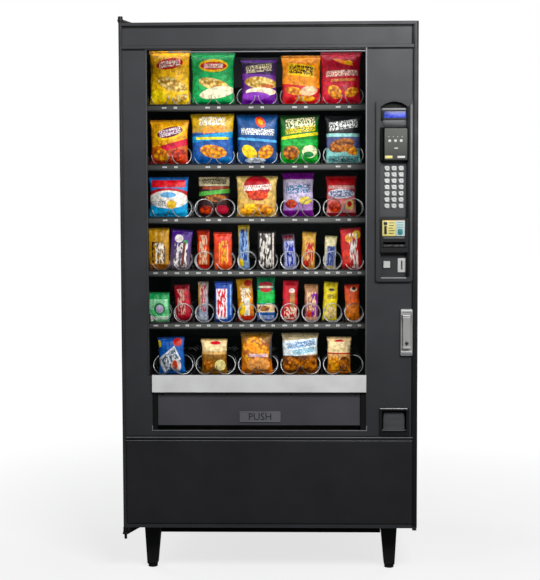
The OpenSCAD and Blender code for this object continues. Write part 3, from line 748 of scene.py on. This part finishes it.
for t, tray in TRAYS.items():
    low, top, y = tray.z[0], tray.z[0] + STRIP, tray.y[0]
    section = [(0.3, low - 0.5), (-2.6, low - 0.5), (-3.6, low + 0.6), (-3.6, low + 2.6), (-1.6, low + 4.4)]
    section += [(-1.6, top - 4.6), (-3.4, top - 3), (-3.4, top - 0.8), (-2.4, top + 0.4), (0.3, top + 0.4)]
    strip = Build()
    along = tray.x[0] - 0.2, tray.x[0] + 414, tray.x[1] + 0.2
    strip.loft([[(x, y + dy, z) for dy, z in section] for x in along])
    strip.paint(1).block(tray.x, span(y, -1.7, -1.5), (low + 4, top - 4), 0.04)
    strip.done(f"price_strip_{t}", "tray_paint", extra=("strip_paint",), body=f"tray_{t}", angle=50)
    step, gap = (1, 17) if kind_of(t) == "bar" else (2, 19)
    cards = Build()
    for n, c in enumerate(range(0, COLUMNS, step)):
        x = column_x(c) + (step - 1) * PITCH_X / 2
        price = f"{1 + (n * 7 + t * 3) % 2}.{(n * 25 + t * 50) % 100:02d}"
        cards.paint(0)
        cards.plate(span(x - gap, -7.5, 7.5), span(y, -2.4, -1.6), span(low, 9.4, 14.6), 1.0, 0.2)
        cards.plate(span(x + gap, -5.5, 5.5), span(y, -2.4, -1.6), span(low, 8.8, 15.4), 1.0, 0.2)
        cards.paint(1)
        cards.text(price, 5.4, x - gap, y - 2.45, low + 12.1, 0.03)
        cards.text(f"{t}{n}", 6.6, x + gap, y - 2.45, low + 12.3, 0.03)
    cards.done(f"price_cards_{t}", "print_white", "price_card", ("ink",), body=f"tray_{t}")


def helix(kind, hand):
    """A wire spiral about the Y axis, from its front end back to its hub, with its two tips tapered."""
    per_turn = 28
    count = TURNS[kind] * per_turn
    lead = PITCH[kind] / (2 * pi)
    loops = []
    for k in range(-1, count + 2):
        tip = -1.0 if k < 0 else 1.0 if k > count else 0.0
        a = 2 * pi * min(max(k, 0), count) / per_turn
        out = Vector((hand * cos(a), 0, -sin(a)))
        along = Vector((-hand * COIL_R * sin(a), lead, -COIL_R * cos(a))).normalized()
        centre = out * COIL_R + Vector((0, lead * a, 0)) + along * tip
        other = along.cross(out).normalized()
        loops.append(circle(centre, out, other, WIRE_SHOWN * (0.55 if tip else 1.0), 8))
    return Build().loft(loops).mesh(f"{kind}_wire", ("spiral_wire",), angle=50)


def hub(kind):
    """Hub with its arm, shaft and collar behind a spiral, about the Y axis."""
    rear = TURNS[kind] * PITCH[kind]
    collar = [(7, 0), (9, 1.2), (9, 6), (11, 7), (11, 12), (9, 13), (9, HUBS_TO - FRONT - rear + 5)]
    b = Build().turn((0, rear - 8, 0), (0, 1, 0), collar, 24)
    b.block((-COIL_R - 3.5, 0), span(rear, -4, 4), (-4, 4), 1.0)
    b.block((0, COIL_R * 0.55), span(rear, -3, 3), (-3, 3), 0.8)
    return b.mesh("spiral_hub", ("key_plastic",))


WIRES = {(kind, hand): helix(kind, hand) for kind in PITCH for hand in (1, -1)}
HUBS = {kind: hub(kind) for kind in PITCH}
# Tray and column of the spirals that are CAD nodes
CAD_SPIRAL = {
    (1, 4): "spiral_1_left", (1, 5): "spiral_1_right", (4, 4): "spiral_4",
    (5, 4): "spiral_5", (6, 4): "spiral_6_left", (6, 5): "spiral_6_right",
}
for t in TRAYS:
    kind = kind_of(t)
    for c in range(COLUMNS):
        hand = 1 if kind == "bar" or c % 2 == 0 else -1
        at = Matrix.Translation(Vector((column_x(c), FRONT, floor_z(t) + RISE)) * MM)
        node = CAD_SPIRAL.get((t, c))
        body = node or f"tray_{t}"
        place(f"wire_{t}_{c}", WIRES[kind, hand], body, (node,) if node else (), at)
        turned = at @ Matrix.Rotation(pi, 4, "Y") if hand > 0 else at
        place(f"hub_{t}_{c}", HUBS[kind], body, (), turned)

# ---- snack packs

# Light and dark tone of the food that shows on a pack
FOOD = {
    "chips": ("f7e2a0", "d99a32"), "corn": ("ffb52e", "d9681a"),
    "brown": ("d98a4a", "7a3f1c"), "fruit": ("f06a50", "b0202a"),
}
PRINT_AND_SHADE_VALUE = {1: 1.0, 2: 0.86, 3: 0.88, 4: 0.78, 5: 0.84, 6: 0.96}  # how bright the print is in each tray, partly the print's own tone and partly painted shade


def film(name, ground, layers, half, value):
    """Printed film: a ground of two tones, then layers of soft-edged ovals, bars, marks and food, and painted
    shade and highlight of its creases.

    half is the pack's half width and half height in metres, and the layers' places are parts of them.
    """
    s = Shader(name, Specular_IOR_Level=0.35, Coat_Weight=0.1, Coat_Roughness=0.15)
    at = s.node("Mapping", {"Vector": s.place, "Scale": (1 / half[0], 1, 1 / half[1])}).outputs[0]
    up = s.axis(2, at)
    tone = s.mix(s.between(up, -1.0, 1.0), ground[1], ground[0])
    for kind, u, v, ru, rv, turn, tint in layers:
        keys = {"Vector": at, "Location": (u, 0, v), "Rotation": (0, radians(turn), 0), "Scale": (ru, 1e4, rv)}
        local = s.node("Mapping", keys, vector_type="TEXTURE").outputs[0]
        if kind == "oval":
            reach = s.node("VectorMath", {0: local}, operation="LENGTH").outputs["Value"]
        else:
            parts = s.node("VectorMath", {0: local}, operation="ABSOLUTE").outputs[0]
            reach = s.math("MAXIMUM", s.axis(0, parts), s.axis(2, parts))
        mask = s.between(reach, 1.0, 0.94)
        if kind == "marks":
            long = max(2.0, 2.6 * ru * half[0] / (rv * half[1]))
            keys = {"Vector": local, "Scale": (long, 1, 1.5), "Location": (u * 9 + 3, 0, v * 7)}
            grid = s.node("Mapping", keys).outputs[0]
            blots = s.node("TexNoise", {"Vector": grid, "Scale": 1.35, "Detail": 1.0})
            mask = s.math("MULTIPLY", mask, s.between(blots.outputs["Fac"], 0.47, 0.5))
        if tint in FOOD:
            light, dark = FOOD[tint]
            keys = {"Vector": s.place, "Scale": 95.0, "Randomness": 1.0}
            grain = s.node("TexVoronoi", keys).outputs["Distance"]
            tint = s.ramp(grain, light, scaled(dark, 0.6), 0.2, 0.8)
        tone = s.mix(mask, tone, tint)
    # painted shade and highlight of the film's creases, multiplied into the print
    crease_shading = s.ramp(s.noise(70, 5, rough=0.65), (0.5, 0.5, 0.5, 1), (1.5, 1.5, 1.5, 1), 0.36, 0.6)
    tone = s.mix(0.8, tone, crease_shading, "MULTIPLY")
    tone = s.node("HueSaturation", {"Color": tone, "Saturation": 1.18, "Value": value}).outputs[0]
    s.link(tone, "Base Color")
    s.roughness(s.noise(30, 3), 0.28, 0.44)
    # crimped seals at the two ends, and creases in the film between them
    seal = s.between(s.math("ABSOLUTE", up), 0.9, 0.92)
    crimps = s.node("TexWave", {"Vector": s.place, "Scale": 190.0}, bands_direction="X").outputs["Fac"]
    crease = s.noise(55, 4, stretch=(1, 1, 0.6), rough=0.6)
    s.bump(s.mix(seal, crease, crimps), 0.85, 0.006)
    return s.material


def pillow(name, w, h, d, seed, full):
    """A film pack: a crowned bag, drawn in at its sides, with flat crimped ends and creases towards them."""
    nu, nv = (33, 49) if w > 85 else (23, 49)
    us, vs = np.linspace(-1, 1, nu), np.linspace(-1, 1, nv)
    end = min(9.0, h * 0.07) * 2 / h  # the part of the half height that is seal
    grid = {}
    verts, faces = [], []
    for side in (-1, 1):
        for j, v in enumerate(vs):
            inner = min(abs(v) / (1 - end), 1.0)
            swell = (1 - inner**3.2) ** 0.62
            half_w = w / 2 * (1 - 0.075 * swell * full)
            for i, u in enumerate(us):
                if side > 0 and (i in (0, nu - 1) or j in (0, nv - 1)):
                    continue
                across = (1 - abs(u) ** 2.5) ** 0.72
                lump = noise.noise(Vector((u * 1.6 + seed, v * 2.1, side * 3.0)))
                fine = noise.noise(Vector((u * 5.0 + seed * 2, v * 3.0, side * 5.0)))
                thick = d / 2 * swell * across * (1 + 0.16 * lump)
                near = exp(-((1 - inner) / 0.22)) * (1 if inner < 1 else 0)
                fold = near * sin(u * 11 + seed + side) * min(2.2, d * 0.07) * across
                fold += fine * 1.3 * swell * across
                wave = 0.9 * sin(u * 4.5 + seed * 1.7 + (v > 0)) * (inner > 0.97)
                zig = (0.8 if i % 2 else -0.2) * (j in (0, nv - 1)) * (1 if v > 0 else -1)
                y = side * (thick + 0.35) + side * max(fold, -thick * 0.5) + wave
                x = u * half_w + 0.7 * sin(v * 7 + seed) * (abs(u) > 0.99)
                if side > 0 and abs(u) < 0.07:  # the lengthways seam on the back
                    y += 0.9 * swell
                grid[side, i, j] = len(verts)
                verts.append((x * MM, y * MM, (v * h / 2 + zig) * MM))
    for side in (-1, 1):
        for j in range(nv - 1):
            for i in range(nu - 1):
                corners = ((i, j), (i + 1, j), (i + 1, j + 1), (i, j + 1))
                quad = [grid.get((side, *corner), grid.get((-1, *corner))) for corner in corners]
                faces.append(quad if side < 0 else quad[::-1])
    mesh = bpy.data.meshes.new(name)
    mesh.from_pydata(verts, [], faces)
    mesh.shade_smooth()
    return mesh


# A line of numbers and two colours starts a pack: tray, first column, columns, shift across, width, height,
# thickness, spiral turns back from the front, lean in degrees, and the ground's top and bottom colour.
# Its layers follow, lowest first: kind, centre and half size as parts of the pack's half width and half height
# (across, up, across, up), turn in degrees if it has one, and a colour or a food.
PACKS = """
1 0 2 -4 143 188 44 0 0 f2aa1e ffd21c
oval .02 .52 .66 .2 -6 c3262c, marks .02 .52 .52 .12 -6 fff1e2, oval .1 -.22 .75 .24 12 chips
oval -.55 -.62 .4 .2 ffe14a, oval .5 -.72 .4 .14 -14 chips
1 2 2 -4 152 181 44 0 0 1a9850 3aae62
oval .05 .5 .66 .25 f5c02a, oval .05 .49 .6 .15 d2232b, marks .05 .49 .44 .09 fff4e8
oval .08 -.2 .72 .22 12 chips, oval .2 -.5 .8 .22 -8 f6eecb, bar 0 -.9 1 .05 0c5c30
1 4 2 7 125 162 40 0 0 120f14 6a3590
bar 0 .86 1 .05 5b2f86, marks 0 .55 .72 .16 -5 e8dcb4, bar 0 .18 1 .13 3 7a4a9c, oval .1 -.05 .9 .26 4 chips
oval .45 -.2 .34 .1 b56a4a, oval .1 -.42 .85 .18 f3dfc4, oval -.2 -.6 .8 .18 8a52b0
1 6 2 3.5 137 169 42 0 0 ff9a16 f08a18
bar 0 .4 .66 .24 6 ffcf2e, marks 0 .42 .6 .18 6 4a2a14, bar 0 -.62 1.2 .42 6 c31c24
oval -.35 -.42 .46 .16 10 corn, oval .38 -.42 .44 .2 -6 f3c9a8, oval .2 -.72 .5 .12 corn
1 8 2 -8 142 179 44 0 0 b0102a c8132c
oval .1 .62 .5 .07 14 ff8a2a, oval .35 .6 .2 .09 ffc04a, marks .05 .2 .78 .11 -2 fbe8d4
marks .1 -.05 .6 .05 -2 f0b878, oval -.3 -.5 .36 .24 24 corn, oval .5 -.5 .34 .18 -14 corn
2 0 2 -7.5 135 154 42 0 0 f2a224 c01c26
bar 0 .45 1 .55 -8 f5ac28, oval .05 .42 .78 .3 -12 ffd23a, oval .05 .45 .68 .23 -12 7a2a44
marks .05 .46 .56 .15 -12 f4e6ee, bar .3 -.12 .7 .14 -14 e0304a, oval -.4 -.55 .42 .28 20 corn
oval .42 -.55 .45 .26 -10 fruit
2 2 2 -6 151 175 44 0 0 e9bc24 174f98
bar 0 -.45 1 .72 1a58a6, bar 0 .08 1 .12 -6 4f9ccc, marks 0 .7 .6 .17 f6f6ee, marks .1 .36 .55 .13 -6 f08a1e
bar 0 .03 .75 .05 f2e24a, oval .05 -.48 .62 .26 8 corn, oval .6 -.78 .3 .12 2f7ac0
2 4 2 .5 145 172 42 0 0 17508f 16427e
oval .15 .68 .28 .19 40 f0502a, oval .15 .68 .14 .1 40 ffb04a, marks .02 .3 .8 .13 2 f7f4ea
bar 0 -.02 .95 .05 4 7ab8e8, oval -.36 -.5 .4 .25 30 f5cf2e, oval .4 -.5 .38 .26 -20 corn
oval -.1 -.82 .5 .1 dfe8f4
2 6 2 -2.5 137 170 42 0 0 1c3a1c 3fa447
marks .05 .66 .75 .2 -4 f7efc8, marks .05 .38 .75 .12 -6 f2d23c, bar 0 .14 .95 .06 -6 f0dc3c
bar 0 -.12 1 .12 4cb25c, oval -.42 -.52 .42 .28 brown, oval .5 -.48 .38 .26 e6ecc0, oval .45 -.6 .26 .12 207a3c
2 8 2 0 124 165 40 0 0 0e0f12 9ad8d2
bar 0 .5 1 .5 121317, marks 0 .62 .8 .18 -6 eef0ec, bar 0 .2 1 .07 a8dcd8, bar 0 -.1 1 .24 5a5f86
oval -.1 -.22 .72 .28 -10 brown, oval .4 -.4 .4 .2 20 corn, marks 0 -.78 .85 .12 2f4f5c
3 0 2 -11 139 140 40 0 0 1f6fc0 35b2e4
bar 0 .66 .85 .18 e0222a, oval 0 .1 1.1 .36 c8242c, oval 0 -.1 1 .45 f2efe6, oval 0 .12 .4 .14 7fb4dc
bar 0 -.78 1 .24 30a8e0, oval .15 -.35 .24 .22 e8c060, marks -.5 -.3 .4 .14 8a8f94
3 2 2 -6 118 146 34 1 0 2a1a16 33181a
bar 0 .72 .92 .22 efe2ba, marks 0 .72 .75 .13 3a2a20, bar 0 .2 1 .1 -5 6cb860, marks .1 .42 .8 .08 d85a34
oval .1 -.08 .66 .18 brown, oval -.45 -.62 .4 .2 fruit, oval .45 -.62 .42 .22 c4203a
3 4 2 -2 143 142 42 0 0 d2ba80 cfa464
oval .02 .5 .66 .55 a8141f, marks .05 .44 .66 .13 -4 f6f0e6, oval .05 .06 .5 .26 fruit, oval 0 -.62 .8 .28 corn
oval -.3 -.5 .3 .16 ffcf5e
3 6 2 -8 112 156 36 1 0 7c1f90 c9a6dc
bar 0 .18 1 .52 d8cdea, bar 0 .84 1 .16 8a1f9c, marks 0 .62 .9 .08 f6eefc, marks 0 .26 .78 .2 -3 4f7f9c
oval -.42 -.4 .36 .2 fruit, oval .45 -.25 .4 .18 f2dc7a, bar 0 -.82 1 .14 7a2a8c
3 8 2 -4.5 108 143 36 1 0 d4101e f0b4b0
bar 0 .75 1 .26 d8121e, marks 0 .46 .85 .08 ffe4dc, oval 0 .14 .88 .24 e9e6f0, marks 0 .14 .76 .17 -3 46608c
oval -.4 -.5 .44 .28 fruit, oval .52 -.4 .3 .26 f2d890, oval .52 -.36 .16 .14 d23a3a, bar 0 -.88 1 .1 a81a28
4 0 1 -9 75 146 22 0 0 cf9a1e b0781c
marks 0 -.15 .62 .5 3a2014, marks .1 -.2 .42 .5 f4ead8, bar 0 -.84 1 .12 9a5c2a
4 1 1 -7 74 140 22 0 5 4b2684 6e6468
oval -.2 .55 .4 .2 e9e2dc, oval .4 .4 .2 .09 4aa05a, marks .05 -.25 .62 .6 e8e0da, bar .3 -.2 .12 .6 4 6a3a30
4 2 1 -5.5 45 138 20 1 0 e2341f ef6a3a
marks 0 0 .6 .75 f7d8b8, bar 0 -.86 1 .12 d22418
4 3 1 -8.5 64 130 22 0 0 d8300c dc4c0f
marks 0 -.05 .42 .62 e8a81e, bar .5 -.1 .07 .5 f0c090
4 4 1 -12.5 40 155 20 1 0 f0d46a 8fb4e4
bar 0 .02 .75 .7 a8c8f0, marks .05 .1 .55 .72 2a4a98, oval -.5 -.7 .5 .2 ffd62a
4 5 1 -5.5 62 134 20 0 0 201614 2a1e1a
marks -.1 0 .66 .88 d2cec6, bar .72 0 .07 .92 e4dcd2
4 6 1 -2 45 126 20 1 -4 3a1c24 b8bce8
bar .05 -.15 .8 .72 c4c8f0, marks .1 -.15 .6 .7 3a48a8, oval 0 .75 .8 .12 6a1c28
4 7 1 -8.5 48 130 22 1 3 e8bc72 e0a868
bar .15 -.2 .6 .62 f0c890, marks .15 -.2 .55 .66 cc2020, oval -.3 -.7 .5 .2 c43020
4 8 1 -7 42 116 20 1 3 efe4b0 e8e4dc
bar .1 -.2 .7 .6 8f9ccc, marks .1 -.2 .55 .6 30407c, oval 0 -.88 .7 .1 e8c98a
4 9 1 -9.5 72 144 24 0 -3 c01822 d22a24
oval .55 .66 .4 .2 f2c832, oval -.2 .5 .35 .2 e8a020, marks .2 -.1 .4 .85 fbf3ec, oval -.5 -.3 .35 .3 e2564a
5 0 1 -10.5 76 104 20 0 0 118a48 7fcf94
bar 0 .2 .85 .35 9fdcae, oval .1 -.1 .52 .42 1a7a44, oval .1 -.1 .34 .28 b8a8c4, oval -.62 -.72 .26 .2 f2e4e4
marks .3 -.7 .6 .14 f0f6ee
5 1 1 -5 56 129 20 1 -3 9c1626 b8424a
marks 0 .05 .66 .7 e8b4a4, bar .5 -.1 .2 .8 c85058, bar 0 -.9 1 .08 8a1420
5 2 1 -7.5 36 138 18 1 0 d8c8c0 8fa0bc
marks .1 .15 .5 .66 c02838, bar -.7 .3 .2 .6 e0a860, marks 0 -.8 .8 .14 e6ecf4
5 3 1 -7 62 142 20 0 0 1d3f94 2c58ac
bar -.2 -.1 .62 .75 efe9ee, marks -.2 -.05 .5 .7 d8202a, bar .78 .1 .08 .75 8fb0e0
5 4 1 -8 57 148 22 1 -3 dca026 dc7424
oval .45 .78 .5 .16 c02a1c, marks .1 .25 .6 .35 fbf0d8, bar .15 -.35 .35 .45 6 f4ecdc, oval -.4 -.4 .4 .3 ffd24a
bar 0 -.86 1 .12 d8321c
5 5 1 -10 64 155 22 1 0 17803c 2a58b4
bar 0 .1 1 .3 3fbf5c, oval 0 .66 .75 .11 a81c28, oval 0 .42 .62 .12 c82c34, oval 0 .54 .85 .05 f0e8c8
bar 0 -.42 1 .18 e8d0a8, oval -.2 -.42 .6 .13 brown, marks 0 -.82 .9 .1 c8d4f0
5 6 1 .5 54 142 20 1 2 d8152c cc3a44
oval .2 .5 .4 .12 f4e2da, bar .3 0 .3 .4 b08a5a, marks .1 -.6 .8 .3 f3d9c4
5 7 1 1 48 129 20 1 0 c89a72 7a3a64
bar .4 -.15 .5 .7 8a3f9c, marks 0 -.1 .7 .7 f0c8a0, oval -.3 -.6 .4 .2 fruit, bar 0 -.86 1 .1 e8b8a0
5 8 1 -7 50 137 20 1 3 ecd43a f2dc4a
oval .1 .6 .4 .07 2a2618, marks .1 .25 .6 .12 8a7a2a, oval .2 -.55 .72 .34 f0dca8, marks .2 -.55 .5 .2 d8b878
5 9 1 -4 52 128 22 1 -2 e03418 f58a1e
oval .2 .72 .5 .12 f3dcc0, oval .25 .76 .3 .08 3a1c14, bar 0 -.5 1 .4 f6841a, marks 0 .2 .7 .2 ff6a3a
6 0 2 -6 94 128 30 0 -2 1450a4 2c6cc0
oval .5 .72 .34 .22 d83a34, oval -.85 .65 .16 .2 f0d44a, bar -.15 -.2 .75 .45 -30 dfe4e8
marks -.1 -.2 .6 .36 -30 5a6a78, oval .35 -.55 .36 .36 e8dcd8, oval .25 -.5 .2 .26 c8503a
6 2 2 -4.5 92 121 32 0 0 e8c890 a8743a
bar 0 .6 .95 .3 f1d9ac, oval .1 .78 .4 .1 d2303a, bar 0 -.4 1 .55 8a6030, oval -.45 -.5 .4 .34 brown
oval .45 -.5 .42 .34 efe0a0
6 4 2 -4.5 112 145 40 0 0 6e5a34 d0702a
oval -.08 .06 .86 .74 10 corn, oval .1 -.55 .75 .36 f2b07a, oval -.2 .25 .5 .2 20 ff9a2a
bar .9 .3 .1 .6 8 4a4a4e, marks .1 -.1 .6 .08 e8d8f0
6 6 2 -2 128 142 38 0 0 b8a888 c07a3a
bar 0 .84 1 .16 a89a7c, bar 0 .3 .98 .4 -4 dfe9ec, marks .05 .46 .78 .14 -8 2a7ab8
marks .2 .14 .6 .12 -8 3aa0c0, bar 0 -.52 1 .44 6a3c1c, oval -.45 -.5 .5 .36 brown, oval .48 -.5 .46 .38 brown
6 8 2 -14 85 128 32 0 0 f0d6a8 d8823a
oval 0 .72 .4 .14 c83a4a, bar 0 .45 .95 .3 f2dcae, bar 0 .12 1 .04 b83a2a, oval -.4 -.45 .5 .42 corn
oval .42 -.45 .46 .42 brown
"""


def read_packs():
    packs = []
    for line in PACKS.strip().splitlines():
        if line[0].isdigit():
            *numbers, upper, lower = line.split()
            packs.append(([int(n) for n in numbers[:3]], [float(n) for n in numbers[3:]], (upper, lower), []))
            continue
        for layer in line.split(", "):
            kind, *numbers, tint = layer.split()
            place_and_turn = ([float(n) for n in numbers] + [0.0])[:5]
            packs[-1][-1].append((kind, *place_and_turn, tint))
    return packs


for n, ((t, c, columns), (shift, w, h, d, back, lean), ground, layers) in enumerate(read_packs()):
    x = column_x(c) + (columns - 1) * PITCH_X / 2 + shift
    y = FRONT + PITCH[kind_of(t)] * (0.56 + back)
    centre = Vector((x, y, floor_z(t) + h / 2 + 1.2)) * MM
    label = f"{t}_{c // columns + 1}"
    mesh = pillow(f"pack_{label}", w, h, d, 1.7 * n, 1.0 if columns == 2 else 0.5)
    mesh.materials.append(film(f"film_{label}", ground, layers, (w / 2000, h / 2000), PRINT_AND_SHADE_VALUE[t]))
    at = Matrix.Translation(centre) @ Matrix.Rotation(radians(lean), 4, "Y")
    piece = place(f"pack_{label}", mesh, f"tray_{t}", (), at)

# ---- light, floor, camera

# The camera sees a white room, and the machine is lit by a dim one
world = bpy.data.worlds.new("studio")
scene.world = world
world.use_nodes = True
nodes, links = world.node_tree.nodes, world.node_tree.links
nodes.clear()
both = nodes.new("ShaderNodeMixShader")
for socket, tint, strength in ((1, (0.92, 0.94, 1.0, 1.0), 0.08), (2, (1.0, 1.0, 1.0, 1.0), 1.0)):
    room = nodes.new("ShaderNodeBackground")
    room.inputs["Color"].default_value = tint
    room.inputs["Strength"].default_value = strength
    links.new(room.outputs[0], both.inputs[socket])
links.new(nodes.new("ShaderNodeLightPath").outputs["Is Camera Ray"], both.inputs["Fac"])
links.new(both.outputs[0], nodes.new("ShaderNodeOutputWorld").inputs["Surface"])

# Name, place, aim, size and power. The window's glow is aimed level, so that it stays behind the sill strip.
for name, at, aim, size, power in (
    ("key", (1.05, -2.9, 2.75), (0.2, -0.43, 1.75), (1.4, 1.0), 71),
    ("fill_left", (-2.6, -3.2, 2.7), (-0.3, -0.43, 1.7), (1.4, 1.2), 28),
    ("fill_right", (3.0, -3.6, 1.6), (0.2, -0.43, 1.3), (1.4, 1.4), 10),
    ("window_glow", (-0.037, -0.41, 1.19), (-0.037, 0.0, 1.19), (0.68, 0.98), 2.4),
    ("back", (2.2, 3.6, 1.5), (0.0, 0.4, 0.9), (2.4, 2.0), 46),
    ("back_left", (-2.6, 2.4, 1.8), (0.0, 0.2, 1.0), (1.6, 1.6), 30),
):
    data = bpy.data.lights.new(name, "AREA")
    data.shape, data.energy = "RECTANGLE", power
    data.size, data.size_y = size
    lamp = add(name, data)
    lamp.location = at
    lamp.visible_camera = False
    lamp.rotation_mode = "QUATERNION"
    lamp.rotation_quaternion = (Vector(aim) - Vector(at)).to_track_quat("-Z", "Y")

# A pale floor that brightens into the white room
pale = Shader("floor", Roughness=0.8, Specular_IOR_Level=0.0, Emission_Color=(1, 1, 1, 1))
away = pale.node("VectorMath", {0: pale.place}, operation="LENGTH").outputs["Value"]
pale.link(pale.between(away, 0.8, 4.5, 0.74, 1.0), "Emission Strength")
pale.link(pale.ramp(pale.noise(0.6), (0.3, 0.3, 0.3, 1), (0.33, 0.33, 0.33, 1)), "Base Color")
floor_mesh = bpy.data.meshes.new("floor")
floor_mesh.from_pydata([(-30, -30, 0), (30, -30, 0), (30, 30, 0), (-30, 30, 0)], [], [(0, 1, 2, 3)])
floor_mesh.materials.append(pale.material)
floor = add("floor", floor_mesh)
floor.visible_glossy = floor.visible_diffuse = False

# The camera that was fitted to the photo's edges
camera_data = bpy.data.cameras.new("camera")
camera_data.lens, camera_data.sensor_width = 75.7, 36.0
camera = add("camera", camera_data)
yaw, dip, roll = (radians(angle) for angle in (-1.48, 3.52, -0.19))
forward = Vector((sin(yaw) * cos(dip), cos(yaw) * cos(dip), -sin(dip)))
level = Vector((cos(yaw), -sin(yaw), 0))
upright = level.cross(forward)
side = level * cos(roll) + upright * sin(roll)
upright = upright * cos(roll) - level * sin(roll)
basis = Matrix((side, upright, -forward)).transposed()
camera.matrix_world = Matrix.Translation((0.107, -4.430, 1.203)) @ basis.to_4x4()
scene.camera = camera
scene.view_settings.view_transform = "Standard"
